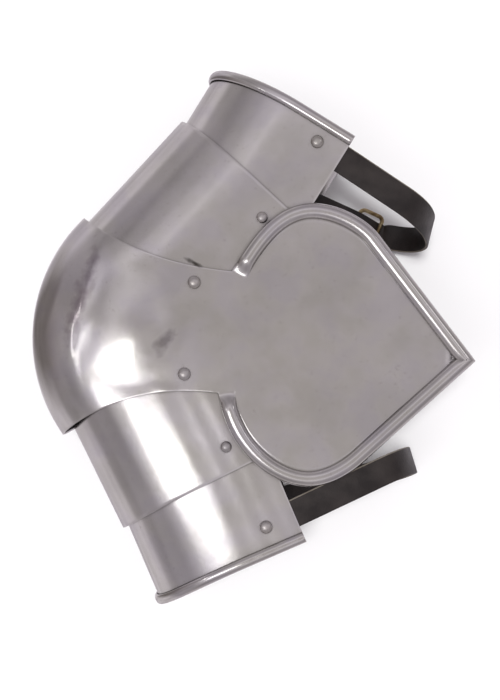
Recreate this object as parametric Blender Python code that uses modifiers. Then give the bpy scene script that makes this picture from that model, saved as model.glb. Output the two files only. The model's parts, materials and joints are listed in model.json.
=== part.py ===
"""An articulated couter: a domed elbow cop with a heart-shaped wing, two lames and two rimmed end plates,
joined by domed rivets and closed by two buckled leather straps. It lies on its far side, the wing facing up.

Sizes are in millimetres. Plan coordinates: +X from the elbow point to the wing's tip, +Y towards the upper
end plate, +Z up, with zero at the middle of the neck between cop and wing and at the middle of the tubes.
"""

import math
from collections import namedtuple

import bmesh
import bpy
import numpy as np
from mathutils import Vector

MM = 0.001
OBJECT_NAME = "couter"

# Sheet steel
SHEET = 1.2
LAP_GAP = 0.35
TOUCH = 0.3
LAP_STEP = SHEET + LAP_GAP

# Elbow cop, measured to the middle of its sheet
COP_HALF_WIDTH = 49.4
NECK_HALF = 42.8
DOME_RADIUS = 123.4
DOME_CENTRE = (-20.0, -5.5)
DOME_ROUNDING = 62.0
DOME_POWER = 2.3
DOME_UPPER_DEG = 140.0
DOME_LOWER_DEG = 221.4
EDGE_FLARE_POWER = 2.4
COP_FAR_FRONT = -5.0
BULGE_HEIGHT = 3.6
BULGE_CENTRE = (-67.0, -3.0)
BULGE_REACH = (40.0, 44.0)

# Wing
WING_LENGTH = 176.5
WING_TIP_DROP = -1.2
BEAD_WIDTH = 11.0
BEAD_HEIGHT = 5.2
BEAD_UNDER_DEG = 115.0
BEAD_FADE = 30.0

# Each lobe of the wing: its height, then shares of the wing's length and of the lobe's height
Lobe = namedtuple("Lobe", "height rise_x rise_y crown_in crown_x crown_out turn_x turn_y shoulder_x shoulder_y")
UPPER_LOBE = Lobe(96.8, 0.074, 0.775, 0.170, 0.317, 0.408, 0.513, 0.921, 0.567, 0.816)
LOWER_LOBE = Lobe(-101.6, 0.039, 0.751, 0.210, 0.368, 0.465, 0.548, 0.890, 0.601, 0.787)

# Pivots of the lames on the cop
PIVOT_X = -25.6
PIVOT_Y = 32.3

# Tubes: U-shaped plates. Lengths along the tube are counted from its own pivot, depths across it likewise.
Tube = namedtuple("Tube", "name level side axis_deg back front low_back low_front top_back top rim")
TUBE_ROUNDING = 70.0
TUBE_POWER = 2.25
RIM_WIDTH = 7.4
RIM_PROUD = 4.6
RIM_TURN_DEG = 285.0
# How much less each plate reaches behind its pivot than the dome's radius
UPPER_LAME_INSET = 31.4
UPPER_END_INSET = 36.0
LOWER_LAME_INSET = 29.9
LOWER_END_INSET = 31.9
UPPER_LAME_BACK = DOME_RADIUS - UPPER_LAME_INSET
UPPER_END_BACK = DOME_RADIUS - UPPER_END_INSET
LOWER_LAME_BACK = DOME_RADIUS - LOWER_LAME_INSET
LOWER_END_BACK = DOME_RADIUS - LOWER_END_INSET
UPPER_LAME = Tube("upper_lame", 1, 1, 53.4, UPPER_LAME_BACK, 23.0, -40.0, -12.0, 81.5, 83.0, 0.0)
UPPER_END = Tube("upper_end_plate", 2, 1, 64.4, UPPER_END_BACK, 25.5, 10.0, -13.0, 74.0, 79.5, RIM_WIDTH)
LOWER_LAME = Tube("lower_lame", 1, -1, -57.5, LOWER_LAME_BACK, 23.0, -40.0, -12.0, 81.0, 76.5, 0.0)
LOWER_END = Tube("lower_end_plate", 2, -1, -60.5, LOWER_END_BACK, 25.5, 10.0, -13.0, 86.0, 80.0, RIM_WIDTH)

# Second pivots, along and across each lame from its first
UPPER_LINK = (65.8, 3.9)
LOWER_LINK = (58.8, 3.6)

# Rivets
HEAD_RADIUS = 4.5
HEAD_HEIGHT = 2.8
SHANK_RADIUS = 2.0
TAIL_RADIUS = 3.2
TAIL_HEIGHT = 1.0
HOLE_CLEARANCE = 0.3
RIVET_STEPS = 12

# Leather straps, chapes and buckles
STRAP_WIDTH = 20.0
LEATHER = 2.2
STRAP_TAIL = 9.0
STRAP_BEND = 27.0
STRAP_SETTLE = 4.0
STRAP_LIFT = 3.5
STRAP_SLOT = 11.0
CHAPE_REACH = 7.5
WRAP_UNDER = 6.0
WRAP_OVER = 11.0
CHAPE_WIDTH = 18.0
CHAPE_SETTLE = 5.0
CHAPE_FOLD_BACK = 16.0
CHAPE_RIVET_IN = 5.0
WIRE_RADIUS = 1.6
BUCKLE_WIDTH = 29.0
BUCKLE_LENGTH = 19.0
BUCKLE_CORNER = 4.0
TONGUE_RADIUS = 1.2
TONGUE_PAST = 1.0
TONGUE_STRAIGHT = 3.0
TONGUE_ARCH = 0.6
TONGUE_DIP = 0.4
DRILL_PAST = 1.0
BEND_STEPS = 14
BEND_STEPS_TURNING = 8
WRAP_STEPS_TURNING = 2

# A strap: its near rivet and far rivet as (along, across) from the end plate's pivot, the directions of its
# two legs and of the far one where it leaves the bend, the lengths of the legs to the bend, and how far beyond
# the far rivet the buckle's bar lies
Strap = namedtuple("Strap", "near far near_deg far_deg bend_deg near_leg far_leg bar_at tip_past")
UPPER_STRAP = Strap((66.0, 4.8), (38.6, 5.3), -27.5, -18.4, -4.0, 72.0, 86.0, 54.0, 40.0)
LOWER_STRAP = Strap((63.1, 3.4), (58.5, 8.5), 31.5, 21.0, 21.0, 90.0, 88.0, 33.0, 30.0)

STEEL = dict(color=(0.60, 0.58, 0.56), roughness=0.28, metallic=1.0)
RIVET_STEEL = dict(color=(0.62, 0.60, 0.58), roughness=0.25, metallic=1.0)
BRASS = dict(color=(0.42, 0.33, 0.16), roughness=0.35, metallic=1.0)
DARK_LEATHER = dict(color=(0.045, 0.035, 0.03), roughness=0.55, metallic=0.0)


def material(name, color, roughness, metallic):
    made = bpy.data.materials.new(name)
    made.use_nodes = True
    shader = made.node_tree.nodes["Principled BSDF"]
    shader.inputs["Base Color"].default_value = (*color, 1.0)
    shader.inputs["Roughness"].default_value = roughness
    shader.inputs["Metallic"].default_value = metallic
    made.diffuse_color = (*color, 1.0)
    return made


def direction(degrees):
    return np.array([math.cos(math.radians(degrees)), math.sin(math.radians(degrees))])


def bezier(p0, p1, p2, p3, count, crowd=1.0):
    """Points of a cubic curve, without its last one; a crowd above 1 draws them towards its start."""
    t = np.linspace(0.0, 1.0, count, endpoint=False)[:, None] ** crowd
    p0, p1, p2, p3 = (np.asarray(p, float) for p in (p0, p1, p2, p3))
    return (1 - t) ** 3 * p0 + 3 * (1 - t) ** 2 * t * p1 + 3 * (1 - t) * t**2 * p2 + t**3 * p3


def add_object(name, mesh, look, collection, parent):
    """A node: its mesh in a new object under the parent, shaded smooth with sharp creases."""
    mesh.materials.append(material(name, **look))
    mesh.shade_smooth()
    mesh.set_sharp_from_angle(angle=math.radians(35))
    made = bpy.data.objects.new(name, mesh)
    collection.objects.link(made)
    made.parent = parent
    return made


def mesh_from_bmesh(name, bm, weld=0.01):
    bmesh.ops.remove_doubles(bm, verts=bm.verts, dist=weld * MM)
    bmesh.ops.recalc_face_normals(bm, faces=bm.faces)
    mesh = bpy.data.meshes.new(name)
    bm.to_mesh(mesh)
    bm.free()
    return mesh


def add_grid(bm, rows):
    """Quads over rows of points in millimetres; returns the rows of vertices."""
    verts = [[bm.verts.new(Vector(p) * MM) for p in row] for row in rows]
    for below, above in zip(verts, verts[1:]):
        for a, b, c, d in zip(below, below[1:], above[1:], above):
            bm.faces.new((a, b, c, d))
    return verts


def solidify(obj):
    """Gives an open mid-sheet surface the thickness of the sheet."""
    shell = obj.modifiers.new("sheet", "SOLIDIFY")
    shell.thickness = SHEET * MM
    shell.offset = 0.0
    shell.use_even_offset = False


def dome_height(x, y, half_width):
    """Height of the dome's mid-sheet over a plan point: flat inside, rounded down to the elbow's outline."""
    radius = math.hypot(x - DOME_CENTRE[0], y - DOME_CENTRE[1])
    share = min(max((radius - (DOME_RADIUS - DOME_ROUNDING)) / DOME_ROUNDING, 0.0), 1.0)
    far = ((x - BULGE_CENTRE[0]) / BULGE_REACH[0]) ** 2 + ((y - BULGE_CENTRE[1]) / BULGE_REACH[1]) ** 2
    bulge = BULGE_HEIGHT * max(1.0 - far, 0.0) ** 2
    return (half_width + bulge) * max(1.0 - share**DOME_POWER, 0.0) ** (1.0 / DOME_POWER)


def dome_path(across, front):
    """Plan points from the front of the dome to the elbow's outline, for a share across from -1 to 1."""
    degrees = DOME_LOWER_DEG + (DOME_UPPER_DEG - DOME_LOWER_DEG) * (across + 1.0) / 2.0
    back = np.array(DOME_CENTRE) + DOME_RADIUS * direction(degrees)
    run = np.linspace(0.0, 1.0, 400)
    start = across * NECK_HALF
    path = np.column_stack([run * back[0], start + (back[1] - start) * run**EDGE_FLARE_POWER])
    path[:, 0] += front * (1.0 - run)
    return path


def dome_row(across, front, half_width, flat_steps, round_steps):
    """Mid-sheet points from the front edge over to the elbow's outline, closer together as it rounds."""
    path = dome_path(across, front)
    radius = np.hypot(path[:, 0] - DOME_CENTRE[0], path[:, 1] - DOME_CENTRE[1])
    inner = DOME_RADIUS - DOME_ROUNDING
    first = int(np.argmax((radius > inner) & (path[:, 0] < DOME_CENTRE[0])))
    picks = list(np.linspace(0, first, flat_steps, endpoint=False))
    for step in range(round_steps + 1):
        share = math.sin(0.5 * math.pi * step / round_steps) ** (2.0 / DOME_POWER)
        wanted = inner + share * DOME_ROUNDING
        picks.append(np.interp(wanted, radius[first - 1 :], np.arange(first - 1, len(path))))
    index = np.arange(len(path))
    row = []
    for pick in picks:
        x = np.interp(pick, index, path[:, 0])
        y = np.interp(pick, index, path[:, 1])
        row.append((x, y, dome_height(x, y, half_width)))
    row[-1] = (row[-1][0], row[-1][1], 0.0)
    return row


def wing_side(lobe, count):
    """Outline of one half of the wing from the neck to just before the tip."""
    length = WING_LENGTH
    height = lobe.height
    neck = (0.0, math.copysign(NECK_HALF, height))
    crown = (lobe.crown_x * length, height)
    shoulder = (lobe.shoulder_x * length, lobe.shoulder_y * height)
    first_handle = (lobe.rise_x * length, lobe.rise_y * height)
    rise = bezier(neck, first_handle, (lobe.crown_in * length, height), crown, count, 1.5)
    turn = bezier(
        crown,
        (lobe.crown_out * length, height),
        (lobe.turn_x * length, lobe.turn_y * height),
        shoulder,
        count // 2,
    )
    steps = np.linspace(0.0, 1.0, count // 2, endpoint=False)[:, None]
    tip = np.array([length, WING_TIP_DROP])
    side = np.array(shoulder) + (tip - np.array(shoulder)) * steps
    return np.vstack([rise, turn, side])


def wing_outline(count):
    """The wing's outline from the upper neck end round the tip to the lower neck end, and the tip's index."""
    upper = wing_side(UPPER_LOBE, count)
    lower = wing_side(LOWER_LOBE, count)[::-1]
    return np.vstack([upper, [[WING_LENGTH, WING_TIP_DROP]], lower]), len(upper)


def bead_profile(angle, fade):
    """Offset from the outline and height over the wing's plate, from the bead's crease over to its flat hem."""
    half = 0.5 * BEAD_WIDTH
    out = (half - 0.5 * SHEET * fade) * math.cos(angle) - half
    return out, fade * (BEAD_HEIGHT - SHEET) * max(math.sin(angle), 0.0)


def wing_bead_rows(count, around):
    """Rows across the wing's beaded edge: up from the crease, over and back under. It fades out at the neck."""
    outline, tip_index = wing_outline(count)
    steps = np.hypot(*np.diff(outline, axis=0).T)
    along = np.concatenate([[0.0], np.cumsum(steps)])
    tangents = np.gradient(outline, along, axis=0)
    tangents /= np.hypot(*tangents.T)[:, None]
    normals = np.column_stack([-tangents[:, 1], tangents[:, 0]])
    before = outline[tip_index] - outline[tip_index - 1]
    after = outline[tip_index + 1] - outline[tip_index]
    half_turn = 0.5 * math.acos(np.dot(before, after) / math.hypot(*before) / math.hypot(*after))
    rows = []
    for index, point in enumerate(outline):
        share = min(along[index], along[-1] - along[index]) / BEAD_FADE
        share = min(share, 1.0)
        fade = share * share * (3.0 - 2.0 * share)
        last = -math.radians(BEAD_UNDER_DEG) * max(0.0, 2.0 * fade - 1.0)
        mitre = 1.0 / math.cos(half_turn) if index == tip_index else 1.0
        row = []
        for step in range(around + 1):
            out, lift = bead_profile(math.pi + (last - math.pi) * step / around, fade)
            flat = point + normals[index] * out * mitre
            row.append((flat[0], flat[1], COP_HALF_WIDTH + lift))
        rows.append(row)
    return rows


def elbow_cop(collection, parent):
    """Dome, far wall and wing as one sheet."""
    across_steps = 16
    flat_steps = 5
    round_steps = 8
    rows = []
    for index in range(across_steps + 1):
        across = -1.0 + 2.0 * index / across_steps
        near = dome_row(across, 0.0, COP_HALF_WIDTH, flat_steps, round_steps)
        far = dome_row(across, COP_FAR_FRONT, COP_HALF_WIDTH, flat_steps, round_steps)
        rows.append(near + [(x, y, -z) for x, y, z in far[-2::-1]])
    bm = bmesh.new()
    verts = add_grid(bm, rows)
    neck = [row[0] for row in verts]
    bead = add_grid(bm, wing_bead_rows(14, 9))
    crease = [row[0] for row in bead]
    bm.faces.new(neck + bead[0][-2:0:-1] + crease + bead[-1][1:-1])
    mesh = mesh_from_bmesh("elbow_cop", bm)
    cop = add_object("elbow_cop", mesh, STEEL, collection, parent)
    solidify(cop)
    return cop


def tube_axes(tube):
    """Unit vectors along the tube and across it towards its open front."""
    along = direction(tube.axis_deg)
    across = np.array([along[1], -along[0]]) * tube.side
    return along, across


def plan_point(tube, pivot, p, u):
    along, across = tube_axes(tube)
    return np.array(pivot) + p * along + u * across


def tube_section(tube, straight_steps, round_steps):
    """Across the U: (depth from the pivot, height), from the near front edge round the back to the far one."""
    half = COP_HALF_WIDTH - tube.level * LAP_STEP
    start = TUBE_ROUNDING - tube.back
    quarter = []
    for step in range(round_steps + 1):
        angle = 0.5 * math.pi * step / round_steps
        share = math.sin(angle) ** (2.0 / TUBE_POWER)
        high = max(math.cos(angle), 0.0) ** (2.0 / TUBE_POWER)
        quarter.append((start - TUBE_ROUNDING * share, half * high))
    flat = [(u, half) for u in np.linspace(tube.front, start, straight_steps, endpoint=False)]
    near = flat + quarter
    near[-1] = (near[-1][0], 0.0)
    return near + [(u, -z) for u, z in near[-2::-1]]


def tube_plate(tube, pivot, collection, parent):
    """One U-shaped plate, its far rim rolled outward where the tube has a rim."""
    section = tube_section(tube, 4, 8)
    levels = 6
    turns = 8 if tube.rim else 0
    radius = 0.5 * (tube.rim - SHEET)
    rows = []
    for index, (u, z) in enumerate(section):
        before = section[max(index - 1, 0)]
        after = section[min(index + 1, len(section) - 1)]
        run = np.array([after[0] - before[0], after[1] - before[1]])
        out = np.array([run[1], -run[0]]) / math.hypot(*run)
        depth = (u + tube.back) / (tube.back + tube.front)
        low = tube.low_back + (tube.low_front - tube.low_back) * min(depth * 1.25, 1.0)
        near_back = max(1.0 - (u + tube.back) / TUBE_ROUNDING, 0.0) ** 2
        top = tube.top + (tube.top_back - tube.top) * near_back
        row = []
        for level in range(levels + 1):
            p = low + (top - low) * level / levels
            row.append((*plan_point(tube, pivot, p, u), z))
        for turn in range(1, turns + 1):
            angle = math.radians(RIM_TURN_DEG) * turn / turns
            lift = out * 0.5 * (RIM_PROUD - SHEET) * (1.0 - math.cos(angle))
            p = top + radius * math.sin(angle)
            row.append((*plan_point(tube, pivot, p, u + lift[0]), z + lift[1]))
        rows.append(row)
    bm = bmesh.new()
    add_grid(bm, rows)
    plate = add_object(tube.name, mesh_from_bmesh(tube.name, bm), STEEL, collection, parent)
    solidify(plate)
    return plate


def cutter_object(name, mesh, cutters, parent):
    """A helper for Booleans, which is no part of the object."""
    cutter = bpy.data.objects.new(name, mesh)
    cutters.objects.link(cutter)
    cutter.hide_render = True
    cutter.display_type = "WIRE"
    cutter.parent = parent
    return cutter


def cut(piece, cutter):
    hole = piece.modifiers.new("cut", "BOOLEAN")
    hole.operation = "DIFFERENCE"
    hole.solver = "EXACT"
    hole.object = cutter


def drill(pieces, place, low, high, cutters, parent):
    """A round rivet hole, upright between two heights, through each of the pieces."""
    bm = bmesh.new()
    radius = (SHANK_RADIUS + HOLE_CLEARANCE) * MM
    bmesh.ops.create_cone(
        bm, cap_ends=True, segments=RIVET_STEPS, radius1=radius, radius2=radius, depth=(high - low) * MM
    )
    mesh = bpy.data.meshes.new("drill")
    bm.to_mesh(mesh)
    bm.free()
    cutter = cutter_object("drill", mesh, cutters, parent)
    cutter.location = Vector((place[0], place[1], 0.5 * (low + high))) * MM
    for piece in pieces:
        cut(piece, cutter)


def slot(piece, centre, along, size, cutters, parent):
    """A rectangular slot, its first side along a plan direction."""
    bm = bmesh.new()
    bmesh.ops.create_cube(bm, size=MM)
    bmesh.ops.scale(bm, vec=size, verts=bm.verts)
    mesh = bpy.data.meshes.new("slot")
    bm.to_mesh(mesh)
    bm.free()
    cutter = cutter_object("slot", mesh, cutters, parent)
    cutter.location = Vector(centre) * MM
    cutter.rotation_euler = (0.0, 0.0, math.atan2(along[1], along[0]))
    cut(piece, cutter)


def rivet(name, place, outer, grip, far, collection, parent):
    """A rivet through a stack of walls: outer is the height of the stack's outer face, grip its thickness."""
    under = outer + TOUCH
    tail = outer - grip - TOUCH
    profile = [(0.0, under + HEAD_HEIGHT)]
    for step in range(1, 5):
        angle = 0.5 * math.pi * step / 4
        profile.append((HEAD_RADIUS * math.sin(angle), under + HEAD_HEIGHT * math.cos(angle)))
    profile += [(SHANK_RADIUS, under), (SHANK_RADIUS, tail)]
    profile += [(TAIL_RADIUS, tail), (TAIL_RADIUS * 0.7, tail - TAIL_HEIGHT), (0.0, tail - TAIL_HEIGHT)]
    bm = bmesh.new()
    points = [bm.verts.new(Vector((r, 0.0, z)) * MM) for r, z in profile]
    for a, b in zip(points, points[1:]):
        bm.edges.new((a, b))
    mesh = bpy.data.meshes.new(name)
    bm.to_mesh(mesh)
    bm.free()
    made = add_object(name, mesh, RIVET_STEEL, collection, parent)
    turned = made.modifiers.new("turned", "SCREW")
    turned.axis = "Z"
    turned.steps = RIVET_STEPS
    turned.render_steps = RIVET_STEPS
    turned.use_merge_vertices = True
    turned.merge_threshold = 0.00001
    turned.use_smooth_shade = True
    made.location = Vector((place[0], place[1], 0.0)) * MM
    if far:
        made.rotation_euler = (math.pi, 0.0, 0.0)
    return made


def band(name, path, widths, width, look, collection, parent, thickness=LEATHER):
    """A flat strip swept along a path, with the direction of its width given at each point."""
    path = np.asarray(path, float)
    tangents = np.gradient(path, axis=0)
    tangents /= np.linalg.norm(tangents, axis=1)[:, None]
    bm = bmesh.new()
    rings = []
    for point, tangent, across in zip(path, tangents, widths):
        across = across - tangent * np.dot(tangent, across)
        across /= np.linalg.norm(across)
        normal = np.cross(tangent, across)
        ring = []
        for side, face in ((-1, -1), (1, -1), (1, 1), (-1, 1)):
            corner = point + across * side * 0.5 * width + normal * face * 0.5 * thickness
            ring.append(bm.verts.new(Vector(corner) * MM))
        rings.append(ring)
    for below, above in zip(rings, rings[1:]):
        for index in range(4):
            following = (index + 1) % 4
            bm.faces.new((below[index], below[following], above[following], above[index]))
    bm.faces.new(rings[0])
    bm.faces.new(rings[-1])
    return add_object(name, mesh_from_bmesh(name, bm), look, collection, parent)


def wire_object(name, points, closed, radius, look, collection, parent):
    """A round wire along a poly line, as a welded mesh."""
    curve = bpy.data.curves.new(name, "CURVE")
    curve.dimensions = "3D"
    curve.bevel_depth = radius * MM
    curve.bevel_resolution = 1
    curve.use_fill_caps = True
    spline = curve.splines.new("POLY")
    spline.points.add(len(points) - 1)
    for target, point in zip(spline.points, points):
        target.co = (*(Vector(point) * MM), 1.0)
    spline.use_cyclic_u = closed
    source = bpy.data.objects.new(name + "_curve", curve)
    bpy.context.scene.collection.objects.link(source)
    bpy.context.view_layer.update()
    evaluated = source.evaluated_get(bpy.context.evaluated_depsgraph_get())
    mesh = bpy.data.meshes.new_from_object(evaluated)
    matrix = source.matrix_world.copy()
    bpy.data.objects.remove(source)
    bpy.data.curves.remove(curve)
    bm = bmesh.new()
    bm.from_mesh(mesh)
    bmesh.ops.remove_doubles(bm, verts=bm.verts, dist=0.00001)
    bm.to_mesh(mesh)
    bm.free()
    mesh.materials.clear()
    made = add_object(name, mesh, look, collection, parent)
    made.matrix_local = matrix
    return made


def chape_path(bar, fold, start, along):
    """Along the far wall, round the buckle's bar and back down onto the first layer."""
    up = np.array([0.0, 0.0, 1.0])
    path = [start, bar - up * fold - along * 0.5]
    for step in range(7):
        angle = math.pi * step / 6
        path.append(bar + fold * (along * math.sin(angle) - up * math.cos(angle)))
    second = LEATHER + TOUCH - fold
    path.append(bar - along * 0.36 * CHAPE_SETTLE + up * (0.75 * fold + 0.25 * second))
    path.append(bar - along * 0.72 * CHAPE_SETTLE + up * (0.25 * fold + 0.75 * second))
    path.append(bar - along * CHAPE_SETTLE + up * second)
    path.append(bar - along * CHAPE_FOLD_BACK + up * second)
    return path


def buckle_frame_points(bar, along, across):
    """Centre line of a rectangular frame with round corners, its heel on the bar's line."""
    middle = bar + along * 0.5 * BUCKLE_LENGTH
    corners = ((1, 1, 0), (-1, 1, 90), (-1, -1, 180), (1, -1, 270))
    points = []
    for ahead, aside, first in corners:
        centre = middle + along * ahead * (0.5 * BUCKLE_LENGTH - BUCKLE_CORNER)
        centre = centre + across * aside * (0.5 * BUCKLE_WIDTH - BUCKLE_CORNER)
        for step in range(4):
            turn = math.radians(first + 30 * step)
            points.append(centre + BUCKLE_CORNER * (along * math.cos(turn) + across * math.sin(turn)))
    return points


def strap_path(strap, near_rivet, near_along, far_along, bar, fold):
    """From inside the near wall, round the bend, under the buckle's outer bar and over its heel: the points
    along the strap's middle, and the direction across it at each."""
    up = np.array([0.0, 0.0, 1.0])
    below = bar + far_along * BUCKLE_LENGTH - up * fold
    above = bar - far_along * STRAP_SETTLE + up * (fold + LEATHER + 4.0 * TOUCH)
    near_end = near_rivet + near_along * strap.near_leg
    bend_along = np.append(direction(strap.bend_deg), 0.0)
    far_end = below + bend_along * (strap.far_leg - strap.bar_at - BUCKLE_LENGTH) + up * STRAP_LIFT
    reach = STRAP_BEND * 4.0 / 3.0
    path = [near_rivet - near_along * STRAP_TAIL]
    path += [near_rivet + near_along * strap.near_leg * share for share in (0.0, 0.35, 0.7)]
    bend_starts = len(path)
    bend = (near_end, near_end + near_along * reach, far_end + bend_along * reach, far_end)
    path += list(bezier(*bend, BEND_STEPS))
    bend_ends = len(path)
    settle = (far_end, far_end - bend_along * CHAPE_REACH, below + far_along * CHAPE_REACH, below)
    path += list(bezier(*settle, 4))
    path += list(bezier(below, below - far_along * WRAP_UNDER, above + far_along * WRAP_OVER, above, 8))
    path += [above, above - far_along * strap.tip_past]
    turns = [strap.near_deg, strap.bend_deg, strap.bend_deg, strap.far_deg]
    at = [bend_starts, bend_starts + BEND_STEPS_TURNING, bend_ends, bend_ends + WRAP_STEPS_TURNING]
    turned = np.interp(np.arange(len(path)), at, turns)
    widths = [np.array([-math.sin(angle), math.cos(angle), 0.0]) for angle in np.radians(turned)]
    return np.array(path), widths


def strap_set(prefix, strap, tube, pivot, plate, cutters, collection, parent):
    """Strap, chape, buckle, tongue and their rivets inside one end plate."""
    near_along = np.append(direction(strap.near_deg), 0.0)
    far_along = np.append(direction(strap.far_deg), 0.0)
    far_width = np.array([-far_along[1], far_along[0], 0.0])
    up = np.array([0.0, 0.0, 1.0])
    wall = COP_HALF_WIDTH - tube.level * LAP_STEP
    leather_z = wall - 0.5 * SHEET - TOUCH - 0.5 * LEATHER
    near_rivet = np.append(plan_point(tube, pivot, *strap.near), leather_z)
    far_rivet = np.append(plan_point(tube, pivot, *strap.far), -leather_z)
    fold = WIRE_RADIUS + TOUCH + 0.5 * LEATHER
    bar = far_rivet + far_along * strap.bar_at + up * fold

    path = chape_path(bar, fold, far_rivet - far_along * STRAP_TAIL, far_along)
    chape = band(
        prefix + "_chape", path, [far_width] * len(path), CHAPE_WIDTH, DARK_LEATHER, collection, parent
    )
    path, widths = strap_path(strap, near_rivet, near_along, far_along, bar, fold)
    leather = band(prefix + "_strap", path, widths, STRAP_WIDTH, DARK_LEATHER, collection, parent)

    frame = buckle_frame_points(bar, far_along, far_width)
    wire_object(prefix + "_buckle_frame", frame, True, WIRE_RADIUS, BRASS, collection, parent)
    seat = WIRE_RADIUS + TOUCH + TONGUE_RADIUS
    tongue = [bar + far_along * seat, bar + far_along * (seat + TONGUE_STRAIGHT) + up * TONGUE_ARCH]
    tongue.append(bar + far_along * (BUCKLE_LENGTH - TONGUE_STRAIGHT) + up * (seat - TONGUE_DIP))
    tongue.append(bar + far_along * (BUCKLE_LENGTH + TONGUE_PAST) + up * seat)
    wire_object(prefix + "_buckle_tongue", tongue, False, TONGUE_RADIUS, BRASS, collection, parent)
    slot_width = 2.0 * TONGUE_RADIUS + 4.0 * TOUCH
    slot_height = 6.0 * fold
    slot(chape, bar + far_along * fold, far_along, (2.0 * fold, slot_width, slot_height), cutters, parent)
    middle = bar + far_along * 0.5 * BUCKLE_LENGTH
    slot(leather, middle, far_along, (STRAP_SLOT, slot_width, slot_height), cutters, parent)

    lap = SHEET + TOUCH + LEATHER
    outer = wall + 0.5 * SHEET
    drill([plate, leather], near_rivet, outer - lap - DRILL_PAST, outer + DRILL_PAST, cutters, parent)
    rivet(prefix + "_strap_rivet", near_rivet, outer, lap, False, collection, parent)
    drill([plate, chape], far_rivet, -outer - DRILL_PAST, lap - outer + DRILL_PAST, cutters, parent)
    rivet(prefix + "_chape_rivet", far_rivet, outer, lap, True, collection, parent)
    top = bar[2] - fold + 1.5 * LEATHER + TOUCH
    double = 2.0 * LEATHER + TOUCH
    fold_rivet = bar - far_along * (CHAPE_FOLD_BACK - CHAPE_RIVET_IN)
    drill([chape], fold_rivet, top - double - DRILL_PAST, top + DRILL_PAST, cutters, parent)
    rivet(prefix + "_fold_rivet", fold_rivet, top, double, False, collection, parent)


def pivot_rivets(name, place, outer, plates, cutters, collection, parent):
    """The near and the far rivet of one pivot, through two lapped plates."""
    grip = 2.0 * SHEET + LAP_GAP
    reach = outer + SHEET
    drill(plates, place, -reach, reach, cutters, parent)
    rivet(name + "_near", place, outer, grip, False, collection, parent)
    rivet(name + "_far", place, outer, grip, True, collection, parent)


def rest_on_floor(origin, collection):
    """Moves the model so that the middle of its base is at the origin."""
    bpy.context.view_layer.update()
    graph = bpy.context.evaluated_depsgraph_get()
    corners = []
    for piece in collection.objects:
        evaluated = piece.evaluated_get(graph)
        mesh = evaluated.to_mesh()
        points = np.empty(len(mesh.vertices) * 3)
        mesh.vertices.foreach_get("co", points)
        matrix = np.array(evaluated.matrix_world)
        corners.append(points.reshape(-1, 3) @ matrix[:3, :3].T + matrix[:3, 3])
        evaluated.to_mesh_clear()
    points = np.vstack(corners)
    low, high = points.min(axis=0), points.max(axis=0)
    origin.location = (-0.5 * (low[0] + high[0]), -0.5 * (low[1] + high[1]), -low[2])
    bpy.context.view_layer.update()


def main():
    for old in list(bpy.data.objects):
        bpy.data.objects.remove(old)
    parts = bpy.data.collections.new(OBJECT_NAME)
    cutters = bpy.data.collections.new(OBJECT_NAME + "_cutters")
    bpy.context.scene.collection.children.link(parts)
    bpy.context.scene.collection.children.link(cutters)
    origin = bpy.data.objects.new(OBJECT_NAME + "_origin", None)
    bpy.context.scene.collection.objects.link(origin)

    upper_pivot = (PIVOT_X, PIVOT_Y)
    lower_pivot = (PIVOT_X, -PIVOT_Y)
    upper_link = plan_point(UPPER_LAME, upper_pivot, *UPPER_LINK)
    lower_link = plan_point(LOWER_LAME, lower_pivot, *LOWER_LINK)
    cop = elbow_cop(parts, origin)
    upper_lame = tube_plate(UPPER_LAME, upper_pivot, parts, origin)
    upper_end = tube_plate(UPPER_END, upper_link, parts, origin)
    lower_lame = tube_plate(LOWER_LAME, lower_pivot, parts, origin)
    lower_end = tube_plate(LOWER_END, lower_link, parts, origin)

    cop_face = COP_HALF_WIDTH + 0.5 * SHEET
    lame_face = cop_face - LAP_STEP
    pivot_rivets("upper_cop_rivet", upper_pivot, cop_face, [cop, upper_lame], cutters, parts, origin)
    pivot_rivets("lower_cop_rivet", lower_pivot, cop_face, [cop, lower_lame], cutters, parts, origin)
    pivot_rivets("upper_lame_rivet", upper_link, lame_face, [upper_lame, upper_end], cutters, parts, origin)
    pivot_rivets("lower_lame_rivet", lower_link, lame_face, [lower_lame, lower_end], cutters, parts, origin)
    strap_set("upper", UPPER_STRAP, UPPER_END, upper_link, upper_end, cutters, parts, origin)
    strap_set("lower", LOWER_STRAP, LOWER_END, lower_link, lower_end, cutters, parts, origin)
    rest_on_floor(origin, parts)


main()
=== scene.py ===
"""The couter dressed for its photograph: polished plates with rolled borders, domed rivets, leather straps
and brass buckles, on a pale floor under soft studio light. Each piece is built in the model's own
millimetres, as the solids are, and then set into the frame by the place of the first hinge.
"""

import json
import math
from collections import namedtuple

import bmesh
import bpy
import numpy as np
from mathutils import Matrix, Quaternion, Vector, noise


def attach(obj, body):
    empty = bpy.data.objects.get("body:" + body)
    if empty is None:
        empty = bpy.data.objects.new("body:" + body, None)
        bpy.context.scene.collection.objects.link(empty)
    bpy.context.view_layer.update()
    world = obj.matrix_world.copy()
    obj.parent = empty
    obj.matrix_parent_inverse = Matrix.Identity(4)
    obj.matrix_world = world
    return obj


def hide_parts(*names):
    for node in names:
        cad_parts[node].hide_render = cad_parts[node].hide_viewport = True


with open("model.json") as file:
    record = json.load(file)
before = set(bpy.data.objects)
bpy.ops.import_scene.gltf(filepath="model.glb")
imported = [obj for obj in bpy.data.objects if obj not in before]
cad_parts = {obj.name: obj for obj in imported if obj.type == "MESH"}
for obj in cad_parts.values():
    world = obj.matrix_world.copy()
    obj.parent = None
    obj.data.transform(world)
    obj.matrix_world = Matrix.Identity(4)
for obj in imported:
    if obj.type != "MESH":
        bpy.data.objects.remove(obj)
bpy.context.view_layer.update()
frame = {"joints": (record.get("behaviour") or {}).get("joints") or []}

MM = 0.001
WELD = 0.02

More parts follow.
